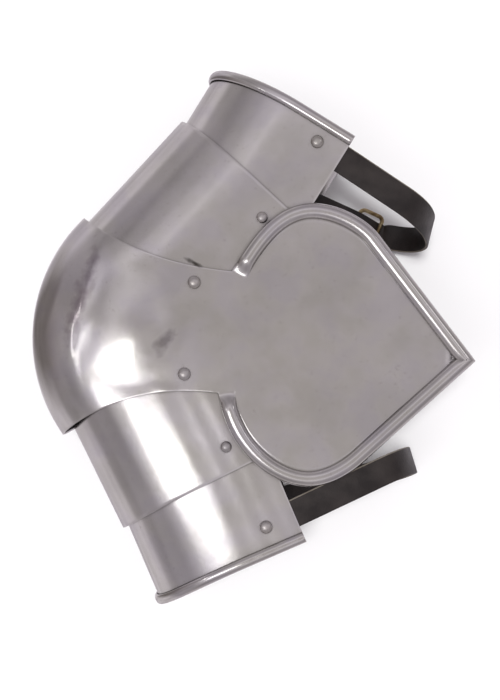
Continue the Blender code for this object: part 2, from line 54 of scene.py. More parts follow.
# Sheet steel, as in the solids
SHEET = 1.2
LAP_GAP = 0.35
TOUCH = 0.3
LAP_STEP = SHEET + LAP_GAP

# Edges: how wide they are softened, and from which angles they are softened or shaded sharp
EDGE_SOFTNESS = 0.28
EDGE_DEG = 50.0
SHARP_DEG = 38.0
LEATHER_SHARP_DEG = 50.0

# How finely the meshes are cut
COP_COLUMNS = 96
FLAT_STEPS = 22
ROUND_STEPS = 44
DOME_SAMPLES = 800
WING_STEPS = 40
BEAD_STEPS = 22
TUBE_LEVELS = 40
RIM_STEPS = 24
HEAD_STEPS = 12
TURN_STEPS = 48

# Elbow cop
COP_HALF_WIDTH = 49.4
NECK_HALF = 42.8
DOME_RADIUS = 123.4
DOME_CENTRE = (-20.0, -5.5)
DOME_ROUNDING = 62.0
DOME_POWER = 2.3
DOME_UPPER_DEG = 140.0
DOME_LOWER_DEG = 221.4
EDGE_FLARE_POWER = 2.4
COP_FAR_FRONT = -5.0
BULGE_HEIGHT = 3.6
BULGE_CENTRE = (-67.0, -3.0)
BULGE_REACH = (40.0, 44.0)

# Wing
WING_LENGTH = 176.5
WING_TIP_DROP = -1.2
BEAD_WIDTH = 11.0
BEAD_HEIGHT = 5.2
BEAD_UNDER_DEG = 115.0
BEAD_FADE = 13.0
BEAD_POWER = 0.8
WING_CROWD = 1.3

# A lobe of the wing: its height, then the points of its curve as shares of the wing's length and that height
Lobe = namedtuple(
    "Lobe",
    "height rise_x rise_y crown_in crown_x crown_out turn_x turn_y shoulder_x shoulder_y",
)
UPPER_LOBE = Lobe(96.8, 0.074, 0.775, 0.170, 0.317, 0.408, 0.513, 0.921, 0.567, 0.816)
LOWER_LOBE = Lobe(-101.6, 0.039, 0.751, 0.210, 0.368, 0.465, 0.548, 0.890, 0.601, 0.787)

# Pivots, lames and end plates
PIVOT_X = -25.6
PIVOT_Y = 32.3
UPPER_PIVOT = (PIVOT_X, PIVOT_Y)
LOWER_PIVOT = (PIVOT_X, -PIVOT_Y)
UPPER_LINK = (65.8, 3.9)
LOWER_LINK = (58.8, 3.6)
TUBE_ROUNDING = 70.0
TUBE_POWER = 2.25
LOW_EDGE_RISE = 1.25
RIM_WIDTH = 7.4
RIM_PROUD = 4.6
RIM_TURN_DEG = 285.0

# How much less each plate reaches behind its pivot than the dome's radius
UPPER_LAME_INSET = 31.4
UPPER_END_INSET = 36.0
LOWER_LAME_INSET = 29.9
LOWER_END_INSET = 31.9
UPPER_LAME_BACK = DOME_RADIUS - UPPER_LAME_INSET
UPPER_END_BACK = DOME_RADIUS - UPPER_END_INSET
LOWER_LAME_BACK = DOME_RADIUS - LOWER_LAME_INSET
LOWER_END_BACK = DOME_RADIUS - LOWER_END_INSET

# A plate: how many sheets lie over it, its side, its axis, its reach behind and before its pivot, where it
# starts and ends along its axis at its back and at its front, and the width of its rim
Tube = namedtuple("Tube", "name level side axis_deg back front low_back low_front top_back top rim")
UPPER_LAME = Tube("upper_lame", 1, 1, 53.4, UPPER_LAME_BACK, 23.0, -40.0, -12.0, 81.5, 83.0, 0.0)
UPPER_END = Tube("upper_end_plate", 2, 1, 64.4, UPPER_END_BACK, 25.5, 10.0, -13.0, 74.0, 79.5, RIM_WIDTH)
LOWER_LAME = Tube("lower_lame", 1, -1, -57.5, LOWER_LAME_BACK, 23.0, -40.0, -12.0, 81.0, 76.5, 0.0)
LOWER_END = Tube("lower_end_plate", 2, -1, -60.5, LOWER_END_BACK, 25.5, 10.0, -13.0, 86.0, 80.0, RIM_WIDTH)

# Rivets
HEAD_RADIUS = 4.5
LAME_HEAD_RADIUS = 3.95
HEAD_HEIGHT = 2.8
HEAD_POWER = 0.9
SHANK_RADIUS = 2.0
TAIL_RADIUS = 3.2
TAIL_TAPER = 0.7
TAIL_HEIGHT = 1.0

# Leather and buckles
STRAP_WIDTH = 20.0
LEATHER = 2.2
LEATHER_ROUNDING = 0.35 * LEATHER
STRAP_TAIL = 9.0
STRAP_BEND = 27.0
STRAP_SETTLE = 4.0
STRAP_LIFT = 3.5
STRAP_AIR = 4.0 * TOUCH
CHAPE_REACH = 7.5
WRAP_UNDER = 6.0
WRAP_OVER = 11.0
HALF_TURN_HANDLE = 4.0 / 3.0
CHAPE_WIDTH = 18.0
CHAPE_SETTLE = 5.0
CHAPE_EASE = 0.45 * CHAPE_SETTLE
CHAPE_FLAT_SHARE = 0.96
CHAPE_FOLD_BACK = 16.0
CHAPE_RIVET_IN = 5.0
WIRE_RADIUS = 1.6
BUCKLE_WIDTH = 29.0
BUCKLE_LENGTH = 19.0
BUCKLE_CORNER = 4.0
TONGUE_RADIUS = 1.2
TONGUE_PAST = 1.0
TONGUE_STRAIGHT = 3.0
TONGUE_ARCH = 0.6
TONGUE_DIP = 0.4

# Steps along the leather's and the wire's routes, and how many of them the strap takes to turn
STRAIGHT_STEPS = 14
BEND_STEPS = 40
BEND_STEPS_TURNING = 23
SETTLE_STEPS = 10
WRAP_STEPS = 20
WRAP_STEPS_TURNING = 5
TIP_STEPS = 8
CHAPE_FLAT_STEPS = 12
FOLD_STEPS = 24
CHAPE_EASE_STEPS = 8
TONGUE_STEPS = 16
LEATHER_CORNER_POINTS = 4
BUCKLE_CORNER_POINTS = 10

# Sides of a strip's section that show cut leather, counted from its first corner
CUT_SIDES = (0, 1, 2, 7, 8, 9, 10, 15)

# A strap: its near rivet and far rivet as (along, across) from the end plate's pivot, the directions of its
# two legs and of the far one where it leaves the bend, the lengths of the legs to the bend, how far beyond
# the far rivet the buckle's bar lies, and how far the tip reaches past the place where it settles
Strap = namedtuple("Strap", "near far near_deg far_deg bend_deg near_leg far_leg bar_at tip_past")
UPPER_STRAP = Strap((66.0, 4.8), (38.6, 5.3), -27.5, -18.4, -4.0, 72.0, 86.0, 54.0, 40.0)
LOWER_STRAP = Strap((63.1, 3.4), (58.5, 8.5), 31.5, 21.0, 21.0, 90.0, 88.0, 33.0, 30.0)

# Hammer marks left under the polish: height of the waves and their length, and how much of them the wing has
WAVES = ((0.14, 42.0), (0.014, 12.0))
WING_WAVES = 0.35
SEED_SKEW = 3.1
COP_SEED = 1.0
FIRST_PLATE_SEED = 2

# Streaks along the plates
STREAK_DEPTH = 0.15
STREAK_WIDTH = 10.0
STREAK_RUN = 260.0

# Dents in the cop: plan place, reach each way, turn of the first reach, and depth
Dent = namedtuple("Dent", "x y reach_x reach_y turn_deg depth")
DENTS = (
    Dent(-43.0, -11.0, 5.0, 9.0, 35.0, 0.32),
    Dent(-52.0, 2.0, 6.0, 4.0, 20.0, 0.14),
    Dent(-51.0, -22.0, 4.0, 5.0, 0.0, 0.12),
    Dent(-38.5, -44.5, 6.0, 3.5, 0.0, 0.3),
    Dent(-101.0, 22.0, 6.0, 26.0, -10.0, 1.7),
    Dent(-108.0, -12.0, 3.0, 17.0, 4.0, 0.5),
    Dent(-122.0, 18.0, 3.5, 22.0, -12.0, 0.6),
)

# Marks on the cop, placed as the dents are, each with its tone: two darker patches, and a painted shadow in
# the gap under the cop's edge over the upper lame
Marking = namedtuple("Marking", "x y reach_x reach_y turn_deg tone")
PATCHES_AND_PAINTED_SHADOW = (
    Marking(-42.5, -13.0, 6.5, 13.0, -38.0, (0.58, 0.56, 0.57)),
    Marking(-103.0, 15.0, 8.0, 42.0, -9.0, (0.64, 0.59, 0.63)),
    # Painted shadow: a near-black sliver in the gap where the cop's edge stands over the upper lame
    Marking(-27.0, 46.0, 8.0, 2.0, -21.0, (0.12, 0.11, 0.10)),
)
MARKING_RAGGED = 0.9

# Punched holes: their radius, the punch, and how far each lies from where the strap's end settles
HOLE_RADIUS = 1.5
HOLE_SEGMENTS = 24
PUNCH_DEPTH = 12.0 * LEATHER
HOLE_STEPS = (14.0, 24.0, 34.0)

# Steel colours: the plain tone, its violet stain and its olive one; roughness, and the brushing's turn
STEEL_TINT = ((0.62, 0.60, 0.585), (0.595, 0.573, 0.58), (0.605, 0.588, 0.56))
STEEL_ROUGHNESS = 0.18
STEEL_BRUSH_TURN = 0.5
RIVET_TINT = ((0.58, 0.55, 0.52), (0.55, 0.53, 0.52), (0.56, 0.54, 0.50))
RIVET_ROUGHNESS = 0.32
RIVET_BRUSH_TURN = 1.1

# Steel surface: noise scales, the shades by a noise's value, and each bump's strength and depth in metres
WHITE = (1.0, 1.0, 1.0)
TINT_STOPS = (0.38, 0.5, 0.62)
BROAD_SCALE = 24.0
BROAD_SHADE = ((0.36, (0.90, 0.90, 0.905)), (0.62, WHITE))
TINT_SCALE = 38.0
SPECK_SCALE = 420.0
SPECK_SHADE = ((0.27, (0.9, 0.89, 0.88)), (0.36, WHITE))
SPECK_BUMP = (0.02, 0.0003)
BRUSH_SCALE = 260.0
BRUSH_STRETCH = (1.0, 0.06, 1.0)
BRUSH_BUMP = (0.05, 0.0003)
PLANISH_SCALE = 90.0
PLANISH_BUMP = (0.04, 0.001)
RAGGED_SCALE = 120.0
# Painted shade in corners, under edges and round rivets: how far the occlusion looks for nearby steel, and
# the tone it darkens the steel to
CORNER_REACH = 0.004
PAINTED_CORNER_SHADE = ((0.2, (0.10, 0.09, 0.085)), (0.85, WHITE))

# Leather: deep and worn tones and roughness of its face and of its cut edge, and its surface
FACE_TONES = ((0.010, 0.0075, 0.007), (0.026, 0.021, 0.019))
FACE_ROUGHNESS = 0.42
CUT_TONES = ((0.12, 0.10, 0.08), (0.22, 0.20, 0.17))
CUT_ROUGHNESS = 0.75
LEATHER_GLOSS = 0.4
RUB_SCALE = 60.0
RUB_STOPS = (0.35, 0.72)
PORE_SCALE = 1500.0
PORE_BUMP = (0.2, 0.0001)
CELL_SCALE = 900.0
CELL_BUMP = (0.35, 0.0003)

# Brass: its tones by the tarnish's value, and its surface
BRASS_ROUGHNESS = 0.34
TARNISH_SCALE = 180.0
TARNISH_TONES = ((0.35, (0.20, 0.14, 0.07)), (0.6, (0.52, 0.42, 0.24)))
TARNISH_BUMP = (0.2, 0.0003)

# Camera: the photograph's lens, shift and height, straight above
CAMERA_SENSOR = 36.0
CAMERA_LENS = 51.7
CAMERA_SHIFT = (0.0, 0.0286)
CAMERA_PLACE = (0.0039, -0.0182, 0.8076)
CAMERA_TURN_DEG = 6.2

# Room: its tones from straight down to straight up, and those of its dark side between two places across
ROOM_TONES = (
    (0.0, (0.70, 0.66, 0.70)),
    (0.14, (0.50, 0.47, 0.49)),
    (0.68, (0.36, 0.335, 0.36)),
    (0.86, (0.58, 0.55, 0.585)),
    (0.94, (0.80, 0.765, 0.81)),
    (0.975, (0.61, 0.58, 0.60)),
    (1.0, (0.48, 0.45, 0.445)),
)
DARK_TONES = (
    (0.0, (0.24, 0.215, 0.215)),
    (0.25, (0.34, 0.305, 0.315)),
    (0.6, (0.46, 0.43, 0.45)),
    (0.9, (0.58, 0.55, 0.57)),
    (1.0, (0.47, 0.44, 0.435)),
)
DARK_SIDE = (-0.7, -0.3)
CLUTTER_SCALE = 3.2
CLUTTER_SHADE = ((0.35, (0.8, 0.785, 0.79)), (0.65, (1.18, 1.18, 1.18)))

# Glow: the soft wall of light behind the key lamp, by the cosine of the angle off its middle
GLOW_TILT_DEG = 21.0
GLOW_AZIMUTH_DEG = -146.0
GLOW_EDGE = 0.93
GLOW_TONES = (
    (0.0, (0.0, 0.0, 0.0)),
    (0.5, (0.05, 0.05, 0.055)),
    (1.0, (0.32, 0.31, 0.33)),
)

# Lamps: name, tilt, azimuth, reach, size, power and roll; and the sun, which leaves no glint on the steel
LAMPS = (
    ("key_box", 21.0, -137.0, 2.2, (0.40, 0.86), 3.0, -26.0),
    ("rim_box", 39.0, -172.0, 2.2, (0.5, 0.05), 0.6, 0.0),
    ("fill_box", 42.0, 35.0, 2.6, (0.6, 0.34), 0.9, 0.0),
)
SUN_TILT_DEG = 6.0
SUN_AZIMUTH_DEG = 150.0
SUN_STRENGTH = 2.4
SUN_SPREAD_DEG = 14.0

# Floor: half its length, and its tones by the noise's value
FLOOR_HALF = 12.0
FLOOR_ROUGHNESS = 0.9
FLOOR_SCALE = 3.0
FLOOR_TONES = ((0.3, (0.80, 0.80, 0.80)), (0.7, (0.84, 0.84, 0.84)))


def hinge_place(name):
    """World place of a hinge, in metres."""
    return next(joint for joint in frame["joints"] if joint["name"] == name)["pos_m"]


HINGE = hinge_place("upper_lame_hinge")
SHIFT = np.array([HINGE[0] / MM - PIVOT_X, HINGE[1] / MM - PIVOT_Y, HINGE[2] / MM])


def direction(degrees):
    return np.array([math.cos(math.radians(degrees)), math.sin(math.radians(degrees))])


def bezier(p0, p1, p2, p3, count, crowd=1.0):
    """Points of a cubic curve, without its last one; a crowd above 1 draws them towards its start."""
    t = np.linspace(0.0, 1.0, count, endpoint=False)[:, None] ** crowd
    p0, p1, p2, p3 = (np.asarray(p, float) for p in (p0, p1, p2, p3))
    return (1 - t) ** 3 * p0 + 3 * (1 - t) ** 2 * t * p1 + 3 * (1 - t) * t**2 * p2 + t**3 * p3


def waviness(point, seed):
    """How far hand work has left the sheet from its true surface, in millimetres."""
    height = 0.0
    for depth, length in WAVES:
        height += depth * noise.noise(Vector(point) / length + Vector((seed, SEED_SKEW * seed, 0.0)))
    return height


def dent_depth(x, y):
    """Depth of the cop's dents under a plan point."""
    depth = 0.0
    for dent in DENTS:
        turned = direction(-dent.turn_deg)
        ahead = (x - dent.x) * turned[0] - (y - dent.y) * turned[1]
        aside = (x - dent.x) * turned[1] + (y - dent.y) * turned[0]
        depth += dent.depth * math.exp(-((ahead / dent.reach_x) ** 2) - (aside / dent.reach_y) ** 2)
    return depth


def mesh_of(name, verts, faces):
    """A mesh in world metres from points in the model's millimetres."""
    points = (np.asarray(verts, float) + SHIFT) * MM
    mesh = bpy.data.meshes.new(name)
    mesh.from_pydata(points.tolist(), [], faces)
    bm = bmesh.new()
    bm.from_mesh(mesh)
    bmesh.ops.remove_doubles(bm, verts=bm.verts, dist=WELD * MM)
    bmesh.ops.recalc_face_normals(bm, faces=bm.faces)
    bm.to_mesh(mesh)
    bm.free()
    return mesh


def grid_faces(row_count, row_length, first=0):
    faces = []
    for row in range(row_count - 1):
        start = first + row * row_length
        for step in range(row_length - 1):
            a = start + step
            faces.append((a, a + 1, a + 1 + row_length, a + row_length))
    return faces


def add_piece(name, mesh, looks, body, nodes, modifiers=(), sharp_deg=SHARP_DEG):
    """Applies the modifiers, shades the piece, hangs it on its body and lets it stand for its nodes."""
    piece = bpy.data.objects.new(name, mesh)
    bpy.context.scene.collection.objects.link(piece)
    for kind, settings in modifiers:
        modifier = piece.modifiers.new(kind.lower(), kind)
        for key, value in settings.items():
            setattr(modifier, key, value)
    if modifiers:
        bpy.context.view_layer.update()
        evaluated = piece.evaluated_get(bpy.context.evaluated_depsgraph_get())
        piece.modifiers.clear()
        piece.data = bpy.data.meshes.new_from_object(evaluated)
    for look in looks:
        piece.data.materials.append(look)
    piece.data.shade_smooth()
    piece.data.set_sharp_from_angle(angle=math.radians(sharp_deg))
    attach(piece, body)
    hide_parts(*nodes)
    return piece


def sheet_steps():
    """Thickness and softened edges for a piece of sheet steel."""
    shell = ("SOLIDIFY", dict(thickness=SHEET * MM, offset=0.0, use_even_offset=False))
    edge = dict(width=EDGE_SOFTNESS * MM, segments=2, limit_method="ANGLE")
    edge["angle_limit"] = math.radians(EDGE_DEG)
    return [shell, ("BEVEL", edge)]


def dome_height(x, y):
    """Height of the dome's mid-sheet over a plan point: flat inside, rounded down to the outline."""
    radius = math.hypot(x - DOME_CENTRE[0], y - DOME_CENTRE[1])
    share = min(max((radius - (DOME_RADIUS - DOME_ROUNDING)) / DOME_ROUNDING, 0.0), 1.0)
    far = ((x - BULGE_CENTRE[0]) / BULGE_REACH[0]) ** 2 + ((y - BULGE_CENTRE[1]) / BULGE_REACH[1]) ** 2
    bulge = BULGE_HEIGHT * max(1.0 - far, 0.0) ** 2
    return (COP_HALF_WIDTH + bulge) * max(1.0 - share**DOME_POWER, 0.0) ** (1.0 / DOME_POWER)


def dome_row(across, front):
    """Mid-sheet points from the front edge over to the elbow's outline, closer together as it rounds."""
    degrees = DOME_LOWER_DEG + (DOME_UPPER_DEG - DOME_LOWER_DEG) * (across + 1.0) / 2.0
    back = np.array(DOME_CENTRE) + DOME_RADIUS * direction(degrees)
    run = np.linspace(0.0, 1.0, DOME_SAMPLES)
    index = np.arange(DOME_SAMPLES)
    start = across * NECK_HALF
    x = run * back[0] + front * (1.0 - run)
    y = start + (back[1] - start) * run**EDGE_FLARE_POWER
    radius = np.hypot(x - DOME_CENTRE[0], y - DOME_CENTRE[1])
    inner = DOME_RADIUS - DOME_ROUNDING
    first = int(np.argmax((radius > inner) & (x < DOME_CENTRE[0])))
    picks = list(np.linspace(0, first, FLAT_STEPS, endpoint=False))
    for step in range(ROUND_STEPS + 1):
        share = math.sin(0.5 * math.pi * step / ROUND_STEPS) ** (2.0 / DOME_POWER)
        picks.append(np.interp(inner + share * DOME_ROUNDING, radius[first - 1 :], index[first - 1 :]))
    row = []
    for pick in picks:
        px, py = np.interp(pick, index, x), np.interp(pick, index, y)
        row.append((px, py, dome_height(px, py)))
    row[-1] = (row[-1][0], row[-1][1], 0.0)
    return row


def wing_side(lobe):
    """Outline of one half of the wing from the neck to just before the tip."""
    length = WING_LENGTH
    height = lobe.height
    neck = (0.0, math.copysign(NECK_HALF, height))
    crown = (lobe.crown_x * length, height)
    shoulder = (lobe.shoulder_x * length, lobe.shoulder_y * height)
    first_handle = (lobe.rise_x * length, lobe.rise_y * height)
    rise = bezier(neck, first_handle, (lobe.crown_in * length, height), crown, WING_STEPS, WING_CROWD)
    turn_handle = (lobe.turn_x * length, lobe.turn_y * height)
    turn = bezier(crown, (lobe.crown_out * length, height), turn_handle, shoulder, WING_STEPS // 2)
    steps = np.linspace(0.0, 1.0, WING_STEPS // 2, endpoint=False)[:, None]
    side = np.array(shoulder) + (np.array([length, WING_TIP_DROP]) - np.array(shoulder)) * steps
    return np.vstack([rise, turn, side])


def wing_bead_rows():
    """Rows across the wing's beaded edge: up from the crease, over and back under, fading at the neck."""
    upper = wing_side(UPPER_LOBE)
    tip = [WING_LENGTH, WING_TIP_DROP]
    outline = np.vstack([upper, [tip], wing_side(LOWER_LOBE)[::-1]])
    tip_index = len(upper)
    along = np.concatenate([[0.0], np.cumsum(np.hypot(*np.diff(outline, axis=0).T))])
    tangents = np.gradient(outline, along, axis=0)
    tangents /= np.hypot(*tangents.T)[:, None]
    normals = np.column_stack([-tangents[:, 1], tangents[:, 0]])
    before = outline[tip_index] - outline[tip_index - 1]
    after = outline[tip_index + 1] - outline[tip_index]
    half_turn = 0.5 * math.acos(np.dot(before, after) / math.hypot(*before) / math.hypot(*after))
    half = 0.5 * BEAD_WIDTH
    rows = []
    for index, point in enumerate(outline):
        share = min(min(along[index], along[-1] - along[index]) / BEAD_FADE, 1.0)
        fade = share * share * (3.0 - 2.0 * share)
        last = -math.radians(BEAD_UNDER_DEG) * max(0.0, 2.0 * fade - 1.0)
        mitre = 1.0 / math.cos(half_turn) if index == tip_index else 1.0
        row = []
        for step in range(BEAD_STEPS + 1):
            angle = math.pi + (last - math.pi) * step / BEAD_STEPS
            out = (half - 0.5 * SHEET * fade) * math.cos(angle) - half
            lift = fade * (BEAD_HEIGHT - SHEET) * max(math.sin(angle), 0.0) ** BEAD_POWER
            flat = point + normals[index] * out * mitre
            row.append((flat[0], flat[1], COP_HALF_WIDTH + lift))
        rows.append(row)
    return rows, tip_index


def cop_shell(steel):
    """Dome, far wall and wing as one sheet, with the polisher's waves in it."""
    rows = []
    for column in range(COP_COLUMNS + 1):
        across = -1.0 + 2.0 * column / COP_COLUMNS
        near = dome_row(across, 0.0)
        far = dome_row(across, COP_FAR_FRONT)
        rows.append(near + [(x, y, -z) for x, y, z in far[-2::-1]])
    verts = [point for row in rows for point in row]
    faces = grid_faces(len(rows), len(rows[0]))

    bead, tip_index = wing_bead_rows()
    ends = list(zip(bead[0][::-1], bead[-1][::-1]))
    ends += [(bead[index][0], bead[-1 - index][0]) for index in range(1, tip_index + 1)]
    steps = np.linspace(0.0, 1.0, COP_COLUMNS + 1)[:, None]
    plate = []
    for upper, lower in ends:
        plate.append([tuple(p) for p in np.array(upper) + (np.array(lower) - np.array(upper)) * steps])
    faces += grid_faces(len(plate), len(plate[0]), len(verts))
    verts += [point for row in plate for point in row]
    faces += grid_faces(len(bead), len(bead[0]), len(verts))
    verts += [point for row in bead for point in row]
    waved = []
    for x, y, z in verts:
        calm = WING_WAVES + (1.0 - WING_WAVES) * min(max(-x / NECK_HALF, 0.0), 1.0)
        lift = calm * waviness((x, y, z), COP_SEED) - (dent_depth(x, y) if z > 0.0 else 0.0)
        lift *= min(abs(z) / COP_HALF_WIDTH, 1.0)
        waved.append((x, y, z + math.copysign(lift, z) if abs(z) > LAP_STEP else z))
    mesh = mesh_of("cop_shell", waved, faces)
    add_piece("cop_shell", mesh, [steel], "cop_body", ["elbow_cop"], sheet_steps())


def tube_axes(tube):
    """Unit vectors along the tube and across it towards its open front."""
    along = direction(tube.axis_deg)
    across = np.array([along[1], -along[0]]) * tube.side
    return along, across


def plan_point(tube, pivot, p, u):
    along, across = tube_axes(tube)
    return np.array(pivot) + p * along + u * across


def tube_section(tube):
    """Across the U: (depth from the pivot, height), from the near front edge round to the far one."""
    half = COP_HALF_WIDTH - tube.level * LAP_STEP
    start = TUBE_ROUNDING - tube.back
    quarter = []
    for step in range(ROUND_STEPS + 1):
        angle = 0.5 * math.pi * step / ROUND_STEPS
        share = math.sin(angle) ** (2.0 / TUBE_POWER)
        high = max(math.cos(angle), 0.0) ** (2.0 / TUBE_POWER)
        quarter.append((start - TUBE_ROUNDING * share, half * high))
    flat = [(u, half) for u in np.linspace(tube.front, start, FLAT_STEPS, endpoint=False)]
    near = flat + quarter
    near[-1] = (near[-1][0], 0.0)
    return near + [(u, -z) for u, z in near[-2::-1]]


def tube_shell(tube, pivot, steel, body, seed):
    """One U-shaped plate, its far rim rolled outward where the tube has a rim."""
    section = tube_section(tube)
    turns = RIM_STEPS if tube.rim else 0
    radius = 0.5 * (tube.rim - SHEET)
    rows = []
    across = 0.0
    for index, (u, z) in enumerate(section):
        before, after = section[max(index - 1, 0)], section[min(index + 1, len(section) - 1)]
        across += math.dist((u, z), before)
        run = np.array([after[0] - before[0], after[1] - before[1]])
        out = np.array([run[1], -run[0]]) / math.hypot(*run)
        depth = (u + tube.back) / (tube.back + tube.front)
        low = tube.low_back + (tube.low_front - tube.low_back) * min(depth * LOW_EDGE_RISE, 1.0)
        near_back = max(1.0 - (u + tube.back) / TUBE_ROUNDING, 0.0) ** 2
        top = tube.top + (tube.top_back - tube.top) * near_back
        row = []
        for level in range(TUBE_LEVELS + 1):
            p = low + (top - low) * level / TUBE_LEVELS
            point = np.array([*plan_point(tube, pivot, p, u), z])
            streak = noise.noise(Vector((across / STREAK_WIDTH, p / STREAK_RUN, seed)))
            wave = waviness(point, seed) + STREAK_DEPTH * streak
            bent = plan_point(tube, pivot, p, u + out[0] * wave)
            row.append((bent[0], bent[1], z + out[1] * wave))
        for turn in range(1, turns + 1):
            angle = math.radians(RIM_TURN_DEG) * turn / turns
            lift = out * (0.5 * (RIM_PROUD - SHEET) * (1.0 - math.cos(angle)) + wave)
            p = top + radius * math.sin(angle)
            row.append((*plan_point(tube, pivot, p, u + lift[0]), z + lift[1]))
        rows.append(row)
    verts = [point for row in rows for point in row]
    name = tube.name + "_shell"
    mesh = mesh_of(name, verts, grid_faces(len(rows), len(rows[0])))
    add_piece(name, mesh, [steel], body, [tube.name], sheet_steps())


def turned_mesh(name, profile, place, far):
    """A solid of revolution upright at a plan place; on the far side it is turned over."""
    verts, faces = [], []
    count = len(profile)
    for turn in range(TURN_STEPS):
        angle = 2.0 * math.pi * turn / TURN_STEPS
        for radius, height in profile:
            z = -height if far else height
            verts.append((place[0] + radius * math.cos(angle), place[1] + radius * math.sin(angle), z))
    for turn in range(TURN_STEPS):
        first, second = turn * count, (turn + 1) % TURN_STEPS * count
        for step in range(count - 1):
            quad = (first + step, second + step, second + step + 1, first + step + 1)
            faces.append(quad if far else quad[::-1])
    return mesh_of(name, verts, faces)


def rivet(name, place, outer, grip, far, look, body, head=HEAD_RADIUS):
    """A rivet set by hand: a domed head with a worn crown, its shank, and a flattened tail."""
    under = outer + TOUCH
    tail = outer - grip - TOUCH
    profile = [(0.0, under + HEAD_HEIGHT)]
    for step in range(1, HEAD_STEPS + 1):
        angle = 0.5 * math.pi * step / HEAD_STEPS
        profile.append((head * math.sin(angle), under + HEAD_HEIGHT * math.cos(angle) ** HEAD_POWER))
    profile[-1] = (head, under)
    profile += [(SHANK_RADIUS, under), (SHANK_RADIUS, tail)]
    end = tail - TAIL_HEIGHT
    profile += [(TAIL_RADIUS, tail), (TAIL_RADIUS * TAIL_TAPER, end), (0.0, end)]
    mesh = turned_mesh(name + "_set", profile, place, far)
    add_piece(name + "_set", mesh, [look], body, [name])


def corner_turns(points):
    """Round a rectangle's corners in turn: the signs of the corner, and the angle of each of its points."""
    for index, (ahead, aside) in enumerate(((1, 1), (-1, 1), (-1, -1), (1, -1))):
        for step in range(points):
            yield ahead, aside, math.radians(90 * index + 90 // (points - 1) * step)


def band(name, path, widths, width, looks, body, node):
    """A flat leather strip swept along a path, its long edges rounded and showing the cut leather."""
    path = np.asarray(path, float)
    tangents = np.gradient(path, axis=0)
    tangents /= np.linalg.norm(tangents, axis=1)[:, None]
    edge = LEATHER_ROUNDING
    outline = []
    for side, face, turn in corner_turns(LEATHER_CORNER_POINTS):
        aside = side * (0.5 * width - edge) + edge * math.cos(turn)
        up = face * (0.5 * LEATHER - edge) + edge * math.sin(turn)
        outline.append((aside, up))
    verts, faces = [], []
    for point, tangent, across in zip(path, tangents, widths):
        across = across - tangent * np.dot(tangent, across)
        across /= np.linalg.norm(across)
        normal = np.cross(tangent, across)
        for aside, up in outline:
            verts.append(tuple(point + across * aside + normal * up))
    count = len(outline)
    for ring in range(len(path) - 1):
        for step in range(count):
            a, b = ring * count + step, ring * count + (step + 1) % count
            faces.append((a, a + count, b + count, b))
    faces.append(tuple(range(count)))
    faces.append(tuple(range(len(verts) - count, len(verts)))[::-1])
    mesh = mesh_of(name, verts, faces)
    piece = add_piece(name, mesh, looks, body, [node], sharp_deg=LEATHER_SHARP_DEG)
    first_end = len(piece.data.polygons) - 2
    for number, face in enumerate(piece.data.polygons):
        face.material_index = 1 if number >= first_end or number % count in CUT_SIDES else 0
    return piece


def wire(name, points, closed, radius, look, body, node):
    """A round wire along a smooth route, as a mesh."""
    curve = bpy.data.curves.new(name, "CURVE")
    curve.dimensions = "3D"
    curve.bevel_depth = radius * MM
    curve.bevel_resolution = 5
    curve.use_fill_caps = True
    spline = curve.splines.new("POLY")
    spline.points.add(len(points) - 1)
    for target, point in zip(spline.points, points):
        target.co = (*((np.asarray(point) + SHIFT) * MM), 1.0)
    spline.use_cyclic_u = closed
    source = bpy.data.objects.new(name, curve)
    bpy.context.scene.collection.objects.link(source)
    bpy.context.view_layer.update()
    evaluated = source.evaluated_get(bpy.context.evaluated_depsgraph_get())
    mesh = bpy.data.meshes.new_from_object(evaluated)
    bpy.data.objects.remove(source)
    mesh.materials.clear()
    add_piece(name, mesh, [look], body, [node])


def chape_path(bar, fold, start, along):
    """Along the far wall, round the buckle's bar and back down onto the first layer."""
    up = np.array([0.0, 0.0, 1.0])
    run = bar - up * fold - start
    path = [start + run * share for share in np.linspace(0.0, CHAPE_FLAT_SHARE, CHAPE_FLAT_STEPS)]
    for step in range(FOLD_STEPS + 1):
        angle = math.pi * step / FOLD_STEPS
        path.append(bar + fold * (along * math.sin(angle) - up * math.cos(angle)))
    second = LEATHER + TOUCH - fold
    top = bar + up * fold
    settled = bar - along * CHAPE_SETTLE + up * second
    ease = along * CHAPE_EASE
    path += list(bezier(top, top - ease, settled + ease, settled, CHAPE_EASE_STEPS))[1:]
    path += [settled - along * (CHAPE_FOLD_BACK - CHAPE_SETTLE) * share for share in (0.0, 0.5, 1.0)]
    return path


def buckle_frame_points(bar, along, across):
    """Centre line of a rectangular frame with round corners, its heel on the bar's line."""
    middle = bar + along * 0.5 * BUCKLE_LENGTH
    points = []
    for ahead, aside, turn in corner_turns(BUCKLE_CORNER_POINTS):
        centre = middle + along * ahead * (0.5 * BUCKLE_LENGTH - BUCKLE_CORNER)
        centre = centre + across * aside * (0.5 * BUCKLE_WIDTH - BUCKLE_CORNER)
        points.append(centre + BUCKLE_CORNER * (along * math.cos(turn) + across * math.sin(turn)))
    return points


